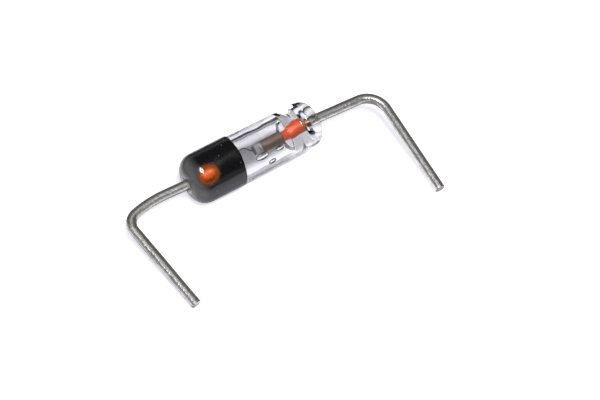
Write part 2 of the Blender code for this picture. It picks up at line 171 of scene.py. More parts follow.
class DiodeLeadSettings(bpy.types.PropertyGroup):
    """Sizes and colours of the bent leads."""

    radius: length_property("Radius", "Radius of the wire", 0.3)
    exit_length: length_property("Exit length", "Straight wire at the glass", 0.03)
    painted_stub: length_property("Painted end stub", "Straight wire beside the body", 1.25)
    painted_lean: angle_property("Painted end lean", "Lean of that wire to the legs", -3.0)
    painted_ease_radius: length_property("Painted end ease", "Radius of the slow bend", 6.95)
    painted_ease_angle: angle_property("Painted end ease angle", "Turn of the slow bend", 17.5)
    painted_bend_radius: length_property("Painted end bend", "Radius of the bend", 0.79)
    painted_bend_angle: angle_property("Painted end bend angle", "Turn of the bend", 83.2)
    painted_leg: length_property("Painted end leg", "Length of the leg", 5.61)
    clear_stub: length_property("Clear end stub", "Straight wire beside the body", 2.97)
    clear_lean: angle_property("Clear end lean", "Lean of that wire to the legs", 3.6)
    clear_bend_radius: length_property("Clear end bend", "Radius of the bend", 1.25)
    clear_bend_angle: angle_property("Clear end bend angle", "Turn of the bend", 88.6)
    clear_leg: length_property("Clear end leg", "Length of the leg", 6.0)
    end_rounding: length_property("End rounding", "Rounding of the cut end's edge", 0.035)
    # Painted reflection: the pale colour on the low side and the dark colour on the other sides
    # stand in for the table and the room mirrored in the wire, not for the wire's own colour.
    painted_table_reflection_colour: colour_property("Pale colour", "Low side, to the legs", (0.97, 0.96, 0.93))
    dark_colour: colour_property("Dark colour", "The other sides", (0.29, 0.287, 0.27))
    patch_colour: colour_property("Patch colour", "Olive patches", (0.40, 0.37, 0.24))
    painted_reflection_direction: FloatVectorProperty(
        name="Pale direction", description="Direction that the pale side faces",
        default=(-0.6, -0.7, -0.39), size=3, subtype="XYZ")
    facets: IntProperty(name="Facets", description="Facets round the wire", default=48, min=12)


class DiodeInsideSettings(bpy.types.PropertyGroup):
    """Colours of the pieces inside the glass."""

    # Painted light: one oxide is given two colours, brighter under the bare spot and darker in
    # the clear bead, to even out the light that each end gets.
    brightened_painted_end_seal_colour: colour_property("Painted end seal colour", "Oxide under the bare spot",
                                         (0.95, 0.14, 0.014))
    dimmed_clear_end_seal_colour: colour_property("Clear end seal colour", "Oxide in the clear bead",
                                       (0.64, 0.078, 0.018))
    seal_end_colour: colour_property("Seal end colour", "End of the oxide", (0.20, 0.07, 0.02))
    bare_colour: colour_property("Bare wire colour", "Seal wire in the open", (0.14, 0.105, 0.07))
    post_colour: colour_property("Post colour", "Brown metal post", (0.13, 0.085, 0.068))
    solder_colour: colour_property("Solder colour", "Soft solder", (0.30, 0.28, 0.26))
    crystal_colour: colour_property("Crystal colour", "Etched germanium", (0.28, 0.25, 0.27))
    whisker_colour: colour_property("Whisker colour", "Spring wire", (0.2, 0.17, 0.14))


class DiodeStageSettings(bpy.types.PropertyGroup):
    """Camera, lamps and floor."""

    azimuth: angle_property("Azimuth", "Camera's direction round the part", -32.742)
    elevation: angle_property("Elevation", "Camera's height angle", 55.274)
    target_x: length_property("Aim along", "Aim point from the painted glass end", 5.081)
    target_y: length_property("Aim across", "Aim point from the tube's axis to the legs", 3.935)
    target_z: length_property("Aim height", "Height of the aim point", 0.8)
    distance: length_property("Distance", "Camera's distance from the aim point", 95.0)
    lens: FloatProperty(name="Lens", description="Focal length", default=100.0, unit="CAMERA")
    lamp_size: length_property("Lamp size", "Side of the lamp over the part", 150.0)
    lamp_power: amount_property("Lamp power", "Lamp over the part", 1.35, "POWER")
    inner_power: amount_property("Inner power", "Its twin for the pieces in the glass", 1.8,
                                 "POWER")
    table_lamp_size: length_property("Table lamp size", "Side of the table's lamp", 200.0)
    table_power: amount_property("Table lamp power", "Lamp for the table", 1.75, "POWER")
    floor_colour: colour_property("Floor colour", "White table", (0.88, 0.88, 0.88))
    lift_direct: amount_property("Floor lift", "White added to the table as seen", 0.7)
    lift_through: amount_property("Floor lift in glass", "White added as the part shows it", 0.13)
    lift_mirrored: amount_property("Floor lift in reflections",
                                   "White added before the tube, as the outside mirrors it", 0.12)
    lift_gathered: amount_property("Gathered light",
                                   "White added where the glass gathers the light", 0.75)
    lift_bead: amount_property("Floor lift in the bead",
                               "White added as the solid end shows it", 0.22)
    shade: amount_property("Shade before the tube", "Share of the light taken away", 0.42)
    reach: length_property("Table reach", "Where the table starts to dim in reflections", 7.0)
    near_colour: colour_property("Near table colour", "Table close by, as the part reflects it",
                                 (0.88, 0.85, 0.94))
    far_colour: colour_property("Far table colour", "Dim table far off, as the part reflects it",
                                (0.03, 0.03, 0.035))
    lift_colour: colour_property("Lift colour", "White added to the table", (0.94, 0.94, 1.0))
    ceiling_colour: colour_property("Ceiling colour", "Light from above", (0.06, 0.06, 0.065))
    horizon_colour: colour_property("Horizon colour", "Light from the sides", (0.42, 0.41, 0.44))


# Mesh tools


def link_mesh(name, bm, material, sharp_angle=radians(40.0)):
    """Turn a bmesh into a smooth-shaded object with its material, linked into the scene."""
    bmesh.ops.remove_doubles(bm, verts=bm.verts[:], dist=WELD_DISTANCE)
    mesh = bpy.data.meshes.new(name)
    bm.to_mesh(mesh)
    bm.free()
    mesh.shade_smooth()
    mesh.set_sharp_from_angle(angle=sharp_angle)
    mesh.materials.append(material)
    piece = bpy.data.objects.new(name, mesh)
    bpy.context.scene.collection.objects.link(piece)
    return piece


def place_on_axis(place, radius, angle):
    """World point at a place along the tube, a radius and a side angle: 0 is +Y, 90 is up."""
    return Vector((PAINTED_GLASS_END + place, AXIS_Y + radius * cos(angle),
                   AXIS_Z + radius * sin(angle)))


def turn_profile(bm, profile, segments, shape):
    """Add a surface turned round the tube's axis from (place, radius) points.

    shape moves each point: it takes and gives a place and a radius, and is told the angle.
    """
    rings = []
    for place, radius in profile:
        if radius <= 0.0:
            rings.append([bm.verts.new(place_on_axis(place, 0.0, 0.0))])
            continue
        ring = []
        for step in range(segments):
            angle = 2.0 * pi * step / segments
            ring.append(bm.verts.new(place_on_axis(*shape(place, radius, angle), angle)))
        rings.append(ring)
    for ring, following in zip(rings, rings[1:]):
        for step in range(segments):
            after = (step + 1) % segments
            corners = [ring[step % len(ring)], ring[after % len(ring)],
                       following[after % len(following)], following[step % len(following)]]
            unique = list(dict.fromkeys(corners))
            if len(unique) > 2:
                bm.faces.new(unique)


def arc_points(centre, radius, start, end, steps):
    """(place, radius) points on an arc; the angle runs from +place towards +radius."""
    points = []
    for step in range(steps + 1):
        angle = start + (end - start) * step / steps
        points.append((centre[0] + radius * cos(angle), centre[1] + radius * sin(angle)))
    return points


def line_points(start, end, steps):
    """Points between two (place, radius) points, the first one left out."""
    return [(start[0] + (end[0] - start[0]) * step / steps,
             start[1] + (end[1] - start[1]) * step / steps) for step in range(1, steps + 1)]


# Material tools


class NodeTree:
    """Short ways to add shader nodes to a tree and to link them."""

    def __init__(self, tree):
        self.nodes = tree.nodes
        self.links = tree.links

    def add(self, kind, **values):
        node = self.nodes.new(kind)
        for key, value in values.items():
            setattr(node, key, value)
        return node

    def feed(self, value, socket):
        """Link a socket to another one, or set its number."""
        if isinstance(value, bpy.types.NodeSocket):
            self.links.new(value, socket)
        else:
            socket.default_value = value

    def object_place(self):
        return self.add("ShaderNodeTexCoord").outputs["Object"]

    def split(self, vector):
        """The three parts of a vector."""
        node = self.add("ShaderNodeSeparateXYZ")
        self.links.new(vector, node.inputs[0])
        return node.outputs

    def attribute(self, name):
        return self.add("ShaderNodeAttribute", attribute_name=name).outputs["Fac"]

    def math(self, operation, *values):
        node = self.add("ShaderNodeMath", operation=operation)
        for value, socket in zip(values, node.inputs):
            self.feed(value, socket)
        return node.outputs[0]

    def vector_value(self, operation, vector, constant):
        """Number that an operation makes of a vector and a constant one."""
        node = self.add("ShaderNodeVectorMath", operation=operation)
        self.links.new(vector, node.inputs[0])
        node.inputs[1].default_value = constant
        return node.outputs["Value"]

    def product(self, first, *others):
        for other in others:
            first = self.math("MULTIPLY", first, other)
        return first

    def ramp(self, value, start, end, low=0.0, high=1.0, smooth=False):
        """Map a range of a value to another range, clamped at both ends."""
        node = self.add("ShaderNodeMapRange", clamp=True,
                        interpolation_type="SMOOTHSTEP" if smooth else "LINEAR")
        for number, socket in zip((value, start, end, low, high), node.inputs):
            self.feed(number, socket)
        return node.outputs["Result"]

    def opposite(self, mask):
        return self.ramp(mask, 0.0, 1.0, 1.0, 0.0)

    def mix(self, mask, low, high):
        """Mix two colours by a mask; either may be a colour or a socket."""
        node = self.add("ShaderNodeMix", data_type="RGBA")
        self.links.new(mask, node.inputs["Factor"])
        for value, socket in ((low, node.inputs[6]), (high, node.inputs[7])):
            is_socket = isinstance(value, bpy.types.NodeSocket)
            self.feed(value if is_socket else (*value, 1.0), socket)
        return node.outputs[2]

    def grain(self, vector, scale, contrast):
        """Place the unevenness group and return its mask socket."""
        node = self.add("ShaderNodeGroup")
        node.node_tree = grain_group()
        self.feed(vector, node.inputs["Vector"])
        self.feed(scale, node.inputs["Scale"])
        self.feed(contrast, node.inputs["Contrast"])
        return node.outputs["Mask"]

    def bump(self, shader, height, distance):
        node = self.add("ShaderNodeBump")
        self.feed(1.0, node.inputs["Strength"])
        self.feed(distance, node.inputs["Distance"])
        self.feed(height, node.inputs["Height"])
        self.feed(node.outputs["Normal"], shader.inputs["Normal"])


def new_material(name):
    material = bpy.data.materials.new(name)
    material.use_nodes = True
    return material, NodeTree(material.node_tree), material.node_tree.nodes["Principled BSDF"]


def grain_group():
    """Shader group: a fine uneven mask from any coordinate."""
    existing = bpy.data.node_groups.get("Fine unevenness")
    if existing:
        return existing
    group = bpy.data.node_groups.new("Fine unevenness", "ShaderNodeTree")
    interface = group.interface
    interface.new_socket("Vector", in_out="INPUT", socket_type="NodeSocketVector")
    interface.new_socket("Scale", in_out="INPUT", socket_type="NodeSocketFloat")
    interface.new_socket("Contrast", in_out="INPUT", socket_type="NodeSocketFloat")
    interface.new_socket("Mask", in_out="OUTPUT", socket_type="NodeSocketFloat")
    tree = NodeTree(group)
    inlet = tree.add("NodeGroupInput").outputs
    outlet = tree.add("NodeGroupOutput").inputs
    cloud = tree.add("ShaderNodeTexNoise", noise_dimensions="3D")
    tree.feed(4.0, cloud.inputs["Detail"])
    tree.feed(0.6, cloud.inputs["Roughness"])
    tree.feed(inlet["Vector"], cloud.inputs["Vector"])
    tree.feed(inlet["Scale"], cloud.inputs["Scale"])
    centred = tree.math("SUBTRACT", cloud.outputs["Fac"], 0.5)
    stretched = tree.math("MULTIPLY_ADD", centred, inlet["Contrast"], 0.5)
    stretched.node.use_clamp = True
    tree.feed(stretched, outlet["Mask"])
    return group


def darker(colour, share):
    return tuple(channel * share for channel in colour)


def glass_material(settings):
    material, tree, shader = new_material("fused_glass")
    shader.inputs["Base Color"].default_value = (*settings.colour, 1.0)
    shader.inputs["Transmission Weight"].default_value = 1.0
    shader.inputs["IOR"].default_value = 1.5
    place = tree.object_place()
    haze = tree.grain(place, 700.0, 1.5)
    tree.feed(tree.ramp(haze, 0.5, 1.0, 0.0, 0.05), shader.inputs["Roughness"])
    tree.bump(shader, tree.grain(place, 1400.0, 1.0), 0.002 * MM)
    return material


def lacquer_material(settings):
    """Glossy black skin that thins out round the bare spot.

    The lacquer turns grey towards the end of the dome. The pale glints round the lead are painted
    highlights, and the orange-brown film round the bare spot is the thinning lacquer with the
    seal's orange glow painted into its colour.
    """
    material, tree, shader = new_material("black_lacquer")
    shader.inputs["IOR"].default_value = 1.65
    place = tree.object_place()
    fine = tree.grain(place, 3000.0, 2.0)
    edge = tree.math("ADD", tree.attribute("window_distance"),
                     tree.ramp(fine, 0.0, 1.0, -0.1, 0.1))
    tree.feed(tree.ramp(edge, 0.3, 0.95, smooth=True), shader.inputs["Alpha"])
    thickness = tree.ramp(edge, 0.7, 1.1, smooth=True)
    # Painted glow: where the lacquer thins round the bare spot its colour turns to the seal's
    # orange, standing in for the seal showing through.
    tone = tree.mix(thickness, settings.seal_glow_film_colour, settings.colour)

    dome_end = tree.ramp(tree.split(place)["X"], PAINTED_GLASS_END + 0.1 * MM,
                         PAINTED_GLASS_END + 0.9 * MM, 1.0, 0.0, smooth=True)
    tone = tree.mix(tree.product(dome_end, thickness), tone, settings.dome_colour)
    # Painted highlights: pale glints in the lacquer round the lead.
    at_lead = tree.ramp(tree.attribute("axis_distance"), 0.5 * MM, 0.66 * MM, 1.0, 0.0,
                        smooth=True)
    glints = tree.ramp(fine, 0.4, 0.55, 0.1, 1.0)
    tone = tree.mix(tree.product(at_lead, glints), tone, settings.painted_glint_colour)
    cells = tree.add("ShaderNodeTexVoronoi")
    cells.inputs["Scale"].default_value = 2600.0
    tree.feed(place, cells.inputs["Vector"])
    specks = tree.ramp(cells.outputs["Distance"], 0.06, 0.13, 1.0, 0.0)
    tree.feed(tree.mix(specks, tone, settings.speck_colour), shader.inputs["Base Color"])

    dull = tree.ramp(fine, 0.2, 0.9, 0.14, 0.22)
    tree.feed(tree.math("MULTIPLY_ADD", dull, thickness, 0.03), shader.inputs["Roughness"])
    tree.bump(shader, tree.grain(place, 1100.0, 1.0), 0.012 * MM)
    return material


def lead_material(settings):
    """Drawn, tinned steel wire: fine lines, dull patches and pits.

    Its tone goes by the direction that the surface faces. The pale low side is a painted
    reflection of the white table, the other sides are a painted reflection of a dim room, and the
    lowest strip is a painted dark edge. None of it is wear.
    """
    material, tree, shader = new_material("tinned_steel_wire")
    shader.inputs["Metallic"].default_value = 0.75
    coordinates = tree.add("ShaderNodeTexCoord").outputs
    wire = tree.add("ShaderNodeUVMap", uv_map="wire")
    stretch = tree.add("ShaderNodeMapping")
    stretch.inputs["Scale"].default_value = (1.0, 14.0, 1.0)
    tree.feed(wire.outputs["UV"], stretch.inputs["Vector"])
    lines = tree.grain(stretch.outputs["Vector"], 2.0, 1.6)
    patches = tree.grain(coordinates["Object"], 1500.0, 2.2)
    pits = tree.grain(coordinates["Object"], 7000.0, 3.0)

    # Painted reflection and painted shade: pale where the surface faces the pale direction, dark
    # elsewhere, darker again on the lowest strip.
    facing = tree.vector_value("DOT_PRODUCT", coordinates["Normal"], settings.painted_reflection_direction)
    pale = tree.ramp(facing, -0.1, 0.15, smooth=True)
    painted_low_edge_shade = tree.ramp(facing, 0.6, 0.75, smooth=True)
    tone = tree.mix(pale, settings.dark_colour, settings.painted_table_reflection_colour)
    tone = tree.mix(painted_low_edge_shade, tone, darker(settings.dark_colour, 0.7))
    tone = tree.mix(tree.ramp(patches, 0.45, 0.8, 0.0, 0.3), tone, settings.patch_colour)
    tone = tree.mix(tree.ramp(pits, 0.0, 1.0, 0.5, 0.0), tone, darker(settings.dark_colour, 0.5))
    tree.feed(tone, shader.inputs["Base Color"])

    dull = tree.ramp(patches, 0.0, 1.0, 0.5, 0.4)
    tree.feed(tree.product(dull, tree.ramp(pale, 0.0, 1.0, 1.0, 0.55)),
              shader.inputs["Roughness"])
    tree.bump(shader, tree.math("MULTIPLY_ADD", lines, 0.5, pits), 0.009 * MM)
    return material


def seal_wire_material(settings, bare_from):
    """Copper-clad wire: orange-red oxide where glass grips it, brown where it is bare."""
    material, tree, shader = new_material("copper_clad_wire")
    place = tree.object_place()
    x = tree.split(place)["X"]
    blur = 0.12 * MM
    end_length = 0.35 * MM
    into_painted = tree.ramp(x, PAINTED_BEAD_HIGH.x - blur, PAINTED_BEAD_HIGH.x + blur,
                             1.0, 0.0, smooth=True)
    into_clear = tree.ramp(x, CLEAR_BEAD_LOW.x - blur, CLEAR_BEAD_LOW.x + blur, smooth=True)
    still_in_glass = tree.ramp(x, bare_from, bare_from + blur, 1.0, 0.0)
    sealed = tree.math("MAXIMUM", into_painted, tree.product(into_clear, still_in_glass))
    streaks = tree.grain(place, 2500.0, 2.0)
    # Painted light: the oxide under the bare spot is written brighter than the same oxide in the
    # clear bead.
    colour = tree.mix(into_clear, settings.brightened_painted_end_seal_colour, settings.dimmed_clear_end_seal_colour)
    shade = tree.mix(into_clear, darker(settings.brightened_painted_end_seal_colour, 0.8),
                     darker(settings.dimmed_clear_end_seal_colour, 0.7))
    seal_end = tree.ramp(x, bare_from - end_length, bare_from, 0.0, 0.85, smooth=True)
    oxide = tree.mix(seal_end, tree.mix(streaks, shade, colour), settings.seal_end_colour)
    bare = tree.mix(streaks, darker(settings.bare_colour, 0.7), settings.bare_colour)
    tree.feed(tree.mix(sealed, bare, oxide), shader.inputs["Base Color"])
    tree.feed(tree.ramp(sealed, 0.0, 1.0, 0.85, 0.0), shader.inputs["Metallic"])
    tree.feed(tree.ramp(streaks, 0.0, 1.0, 0.5, 0.3), shader.inputs["Roughness"])
    tree.bump(shader, streaks, 0.006 * MM)
    return material


def small_metal_material(name, colour, roughness, metallic=1.0):
    """Plain small metal piece with a slightly uneven tone and surface."""
    material, tree, shader = new_material(name)
    shader.inputs["Metallic"].default_value = metallic
    patches = tree.grain(tree.object_place(), 3500.0, 2.0)
    tree.feed(tree.mix(patches, darker(colour, 0.7), colour), shader.inputs["Base Color"])
    tree.feed(tree.ramp(patches, 0.0, 1.0, roughness + 0.08, roughness - 0.05),
              shader.inputs["Roughness"])
    tree.bump(shader, patches, 0.008 * MM)
    return material


def dress_node(node, material):
    """Give a carried-over node of the frame its material."""
    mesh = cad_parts[node].data
    mesh.materials.clear()
    mesh.materials.append(material)


# The glass

OUTER_WAVE, BORE_WAVE = 0.9 * MM, 0.7 * MM


def smooth_step(value):
    clamped = min(1.0, max(0.0, value))
    return clamped * clamped * (3.0 - 2.0 * clamped)


def glass_shape(settings):
    """Function that draws the neck in, ripples the surface and adds the drop."""
    ramp = settings.neck_ramp

    def shape(place, radius, angle):
        into = place - settings.neck_start
        share = smooth_step(into / ramp) * smooth_step((settings.neck_length - into) / ramp)
        near = (0.5 + 0.5 * cos(angle - settings.neck_side)) ** 2
        depth = settings.neck_depth_far + (settings.neck_depth - settings.neck_depth_far) * near
        new_radius = radius
        if radius > BORE_RADIUS:
            new_radius -= share * depth
        spot = place_on_axis(place, radius, angle) / OUTER_WAVE
        new_radius -= settings.ripple * (0.5 + 0.5 * noise.noise(spot))
        off = hypot(place - settings.drop_place, radius * (angle - settings.drop_side))
        new_radius += settings.drop_height * exp(-(off / settings.drop_width) ** 2)
        return place, new_radius

    return shape


def glass_outside(settings):
    """Outer profile of the fused glass, from the dome's dimple to the hollow at the clear end."""
    rounding = settings.dome_rounding
    flat = settings.radius - rounding
    profile = [(settings.dimple_depth, 0.0), (settings.dimple_depth, settings.seat_radius)]
    profile += line_points(profile[-1], (0.03 * MM, 0.9 * settings.dimple_radius), 4)
    profile.append((0.0, settings.dimple_radius))
    profile += arc_points((rounding, flat), rounding, pi, pi / 2.0, 24)
    profile += line_points(profile[-1], (settings.taper_start, settings.radius), 12)
    profile += line_points(profile[-1], (settings.neck_start, settings.clear_radius), 24)
    corner = settings.length - settings.end_rounding
    profile += line_points(profile[-1], (corner, settings.clear_radius), 48)
    lip = settings.clear_radius - settings.mouth_radius
    lip_steps, hollow_steps = 24, 16
    for step in range(1, lip_steps + 1):
        turn = pi / 2.0 * step / lip_steps
        profile.append((corner + settings.end_rounding * sin(turn),
                        settings.mouth_radius + lip * cos(turn)))
    flare = settings.mouth_radius - settings.seat_radius
    for step in range(hollow_steps + 1):
        turn = pi / 2.0 * step / hollow_steps
        profile.append((settings.length - settings.recess_depth * sin(turn),
                        settings.mouth_radius - flare * (1.0 - cos(turn))))
    profile.append((settings.length - settings.recess_depth, 0.0))
    return profile


def glass_cavity(settings):
    """Profile of the closed hollow between the bulging beads."""
    start = PAINTED_BEAD_HIGH.x - PAINTED_GLASS_END
    end = CLEAR_BEAD_LOW.x - PAINTED_GLASS_END
    bulge = settings.bead_bulge
    face_steps = 16
    profile = [(end, 0.0)]
    for step in range(1, face_steps + 1):
        turn = pi / 2.0 * step / face_steps
        profile.append((end + bulge * (1.0 - cos(turn)), BORE_RADIUS * sin(turn)))
    profile += line_points(profile[-1], (start - bulge, BORE_RADIUS), 32)
    for step in range(face_steps - 1, -1, -1):
        turn = pi / 2.0 * step / face_steps
        profile.append((start - bulge * (1.0 - cos(turn)), BORE_RADIUS * sin(turn)))
    return profile


def add_bubble(bm, place, side, half_length, half_width):
    """Add a closed bubble, drawn out along the tube, inside the glass wall."""
    verts = bmesh.ops.create_uvsphere(bm, u_segments=32, v_segments=16, radius=1.0)["verts"]
    outwards = Vector((0.0, cos(side), sin(side)))
    across = Vector((0.0, -sin(side), cos(side)))
    middle = place_on_axis(place, BUBBLE_RADIUS, side)
    for vert in verts:
        spot = vert.co.copy()
        vert.co = (middle + Vector((1.0, 0.0, 0.0)) * half_length * spot.z
                   + across * half_width * spot.x + outwards * BUBBLE_HALF_HEIGHT * spot.y)


class DIODE_OT_fused_glass(bpy.types.Operator):
    """Build the fused glass: tube, beads, neck, lip and bubbles in one clear piece"""

    bl_idname = "diode.fused_glass"
    bl_label = "Fused Glass"

    def execute(self, context):
        settings = context.scene.diode_glass
        bm = bmesh.new()
        shape = glass_shape(settings)
        turn_profile(bm, glass_outside(settings)[::-1], settings.facets, shape)
        outside = set(bm.faces)

        def bore_shape(place, radius, angle):
            spot = place_on_axis(place, radius, angle) / BORE_WAVE
            upward = radius / BORE_RADIUS * cos(angle - settings.neck_side)
            past_middle = smooth_step(place / settings.length - 0.3)
            new_place = place - settings.bead_tilt * upward * past_middle
            narrow = settings.bore_narrowing * radius / BORE_RADIUS
            shifted = settings.bore_shift * upward
            return new_place, radius - narrow - shifted + settings.bore_ripple * noise.noise(spot)

        turn_profile(bm, glass_cavity(settings)[::-1], settings.facets, bore_shape)
        for place, side, half_length, half_width in BUBBLES:
            add_bubble(bm, place * MM, radians(side), half_length * MM, half_width * MM)
        bmesh.ops.recalc_face_normals(bm, faces=bm.faces[:])
        bmesh.ops.reverse_faces(bm, faces=[face for face in bm.faces if face not in outside])
        glass = link_mesh("fused_glass", bm, glass_material(settings), radians(80.0))
        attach(glass, "root")
        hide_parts("glass_tube", "painted_end_bead", "clear_end_bead")
        return {"FINISHED"}


# The lacquer

EDGE_LENGTH = 0.2 * MM
LONG_WAVE, SHORT_WAVE = 0.8 * MM, 0.25 * MM
SWELL_WAVE = 0.7 * MM
SWELL_SHIFT = Vector((7.0, 3.0, 5.0))


def window_axis(settings):
    """Direction that the bare spot faces."""
    side = settings.window_side
    lean = settings.window_lean
    return Vector((-sin(lean), cos(side) * cos(lean), sin(side) * cos(lean)))


class DIODE_OT_lacquer_skin(bpy.types.Operator):
    """Build the lacquer skin on the painted half, with its bare spot over the seal"""

    bl_idname = "diode.lacquer_skin"
    bl_label = "Lacquer Skin"

    def execute(self, context):
        settings = context.scene.diode_lacquer
        glass = context.scene.diode_glass
        lead_radius = context.scene.diode_leads.radius
        bite = 0.008 * MM + glass.ripple
        edge = 0.04 * MM
        end = COAT_HIGH.x - PAINTED_GLASS_END
        thick = PAINTED_GLASS_END - COAT_LOW.x
        rounding = glass.dome_rounding
        flat = glass.radius - rounding
        outer_rounding = COAT_RADIUS - flat
        depth = glass.dimple_depth
        floor = depth - thick
        # A fillet climbs a little way up the lead, then the dimple, the dome and the side
        profile = [(depth + 0.05 * MM, lead_radius - 0.02 * MM), (floor - 0.04 * MM, lead_radius),
                   (floor - 0.03 * MM, lead_radius + 0.02 * MM),
                   (floor + 0.005 * MM, lead_radius + 0.05 * MM)]
        profile += arc_points((-thick + depth, glass.dimple_radius + 0.04 * MM), depth,
                              -pi / 2.0, -pi, 6)[1:]
        profile += arc_points((outer_rounding - thick, flat), outer_rounding, pi, pi / 2.0, 32)
        profile += line_points(profile[-1], (end - edge, COAT_RADIUS), 20)
        profile += arc_points((end - edge, COAT_RADIUS - edge), edge, pi / 2.0, 0.0, 4)[1:]
        profile += [(end, glass.radius - bite)]
        profile += line_points(profile[-1], (rounding, glass.radius - bite), 20)
        profile += arc_points((rounding, flat), rounding - bite, pi / 2.0, pi, 32)[1:]
        profile += [(bite, glass.dimple_radius), (depth + bite, lead_radius)]

        def shape(place, radius, angle):
            spot = place_on_axis(place, radius, angle)
            new_place = place
            if place > end - EDGE_LENGTH:
                wave = noise.noise(spot / LONG_WAVE) + 0.4 * noise.noise(spot / SHORT_WAVE)
                low = 0.5 - 0.5 * cos(angle - glass.neck_side)
                new_place += (settings.edge_wave * wave - settings.edge_back
                              - settings.edge_slant * low ** 4)
            swell = 0.5 + 0.5 * noise.noise(spot / SWELL_WAVE + SWELL_SHIFT)
            inner = radius < glass.radius
            return new_place, radius if inner else radius - settings.swell * swell

        bm = bmesh.new()
        turn_profile(bm, profile + profile[:1], settings.facets, shape)
        bmesh.ops.recalc_face_normals(bm, faces=bm.faces[:])
        skin = link_mesh("lacquer_skin", bm, lacquer_material(settings), radians(60.0))
        self.mark_window(skin.data, settings)
        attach(skin, "root")
        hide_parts("black_lacquer_coat")
        return {"FINISHED"}

    @staticmethod
    def mark_window(mesh, settings):
        """Store each point's distance from the tube's axis, and from the bare spot's middle.

        The second is in shares of the spot's own size: 1 is its rim.
        """
        facing = window_axis(settings)
        along = (Vector((1.0, 0.0, 0.0)) - facing * facing.x).normalized()
        across = facing.cross(along)
        middle = place_on_axis(settings.window_place, 0.0, 0.0)
        far_side = 4.0
        from_axis, from_window = [], []
        for vert in mesh.vertices:
            from_axis.append(hypot(vert.co.y - AXIS_Y, vert.co.z - AXIS_Z))
            offset = vert.co - middle
            from_window.append(far_side if offset.dot(facing) < 0.0 else hypot(
                offset.dot(along) / (settings.window_length / 2.0),
                offset.dot(across) / (settings.window_width / 2.0)))
        for name, values in (("axis_distance", from_axis), ("window_distance", from_window)):
            mesh.attributes.new(name, "FLOAT", "POINT").data.foreach_set("value", values)


# The leads

RUN_STEP = 0.2 * MM
BEND_STEP = radians(2.5)


def lead_route(inner_end, sections):
    """Centre line of a lead as (x, y, heading): runs, turns and bends in the lead's plane."""
    x, y, heading = 0.0, 0.0, 0.0
    points = [(inner_end, 0.0, 0.0), (0.0, 0.0, 0.0)]
    for kind, *sizes in sections:
        if kind == "turn":
            heading += sizes[0]
            points[-1] = (x, y, heading / 2.0)
        elif kind == "run":
            steps = max(1, round(sizes[0] / RUN_STEP))
            for _ in range(steps):
                x += sizes[0] / steps * cos(heading)
                y += sizes[0] / steps * sin(heading)
                points.append((x, y, heading))
        else:
            radius, angle = sizes
            steps = max(4, round(abs(angle) / BEND_STEP))
            chord = 2.0 * radius * sin(angle / steps / 2.0)
            for _ in range(steps):
                x += chord * cos(heading + angle / steps / 2.0)
                y += chord * sin(heading + angle / steps / 2.0)
                heading += angle / steps
                points.append((x, y, heading))
    return points


def lead_dip(route, radius):
    """Slope that brings the cut end's lowest point down to the surface."""
    reach = route[-1][1]
    return asin(AXIS_Z / hypot(reach, radius)) - atan2(radius, reach)


def sweep_lead(name, route, outwards, exit_x, settings, material):
    """Sweep the wire's round section along its route; outwards is -1 or 1 along X."""
    radius = settings.radius
    slope = lead_dip(route, radius)
    down = Vector((0.0, -cos(slope), -sin(slope)))
    out = Vector((outwards, 0.0, 0.0))
    normal = out.cross(down)
    start = Vector((exit_x, AXIS_Y, AXIS_Z))
    rounding = settings.end_rounding
    sections = [(point, radius) for point in route]
    (x, y, heading), _ = sections.pop()
    rounding_steps = 4
    for step in range(rounding_steps + 1):
        turn = pi / 2.0 * step / rounding_steps
        back = rounding * (1.0 - sin(turn))
        spot = (x - back * cos(heading), y - back * sin(heading), heading)
        sections.append((spot, radius - rounding * (1.0 - cos(turn))))
    bm = bmesh.new()
    uv = bm.loops.layers.uv.new("wire")
    rings = []
    travelled = 0.0
    before = None
    for (x, y, heading), size in sections:
        centre = start + out * x + down * y
        travelled += (centre - before).length if before else 0.0
        before = centre
        across = down * cos(heading) - out * sin(heading)
        ring = []
        for step in range(settings.facets):
            angle = 2.0 * pi * step / settings.facets
            direction = across * cos(angle) + normal * sin(angle)
            ring.append(bm.verts.new(centre + direction * size))
        rings.append((ring, travelled))
    for (ring, low), (following, high) in zip(rings, rings[1:]):
        for step in range(settings.facets):
            after = (step + 1) % settings.facets
            face = bm.faces.new((ring[step], ring[after], following[after], following[step]))
            left, right = step / settings.facets, (step + 1) / settings.facets
            corners = ((low, left), (low, right), (high, right), (high, left))
            for loop, (run, side) in zip(face.loops, corners):
                loop[uv].uv = (run / MM, side)
    bm.faces.new(rings[0][0])
    bm.faces.new(rings[-1][0])
    bmesh.ops.recalc_face_normals(bm, faces=bm.faces[:])
    return link_mesh(name, bm, material)


class DIODE_OT_leads(bpy.types.Operator):
    """Build both bent leads"""

    bl_idname = "diode.leads"
    bl_label = "Leads"

    def execute(self, context):
        s = context.scene.diode_leads
        material = lead_material(s)
        painted = lead_route(COAT_LOW.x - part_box("painted_end_lead")[1].x, [
            ("run", s.exit_length), ("turn", s.painted_lean), ("run", s.painted_stub),
            ("bend", s.painted_ease_radius, s.painted_ease_angle),
            ("bend", s.painted_bend_radius, s.painted_bend_angle), ("run", s.painted_leg)])
        rim = PAINTED_GLASS_END + context.scene.diode_glass.length
        clear = lead_route(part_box("clear_end_lead")[0].x - rim, [
            ("run", s.exit_length), ("turn", s.clear_lean), ("run", s.clear_stub),
            ("bend", s.clear_bend_radius, s.clear_bend_angle), ("run", s.clear_leg)])
        for name, route, outwards, exit_x in (
                ("painted_end_lead", painted, -1.0, COAT_LOW.x),
                ("clear_end_lead", clear, 1.0, rim)):
            wire = sweep_lead(name + "_wire", route, outwards, exit_x, s, material)
            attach(wire, "root")
            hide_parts(name)
        return {"FINISHED"}


# The pieces inside


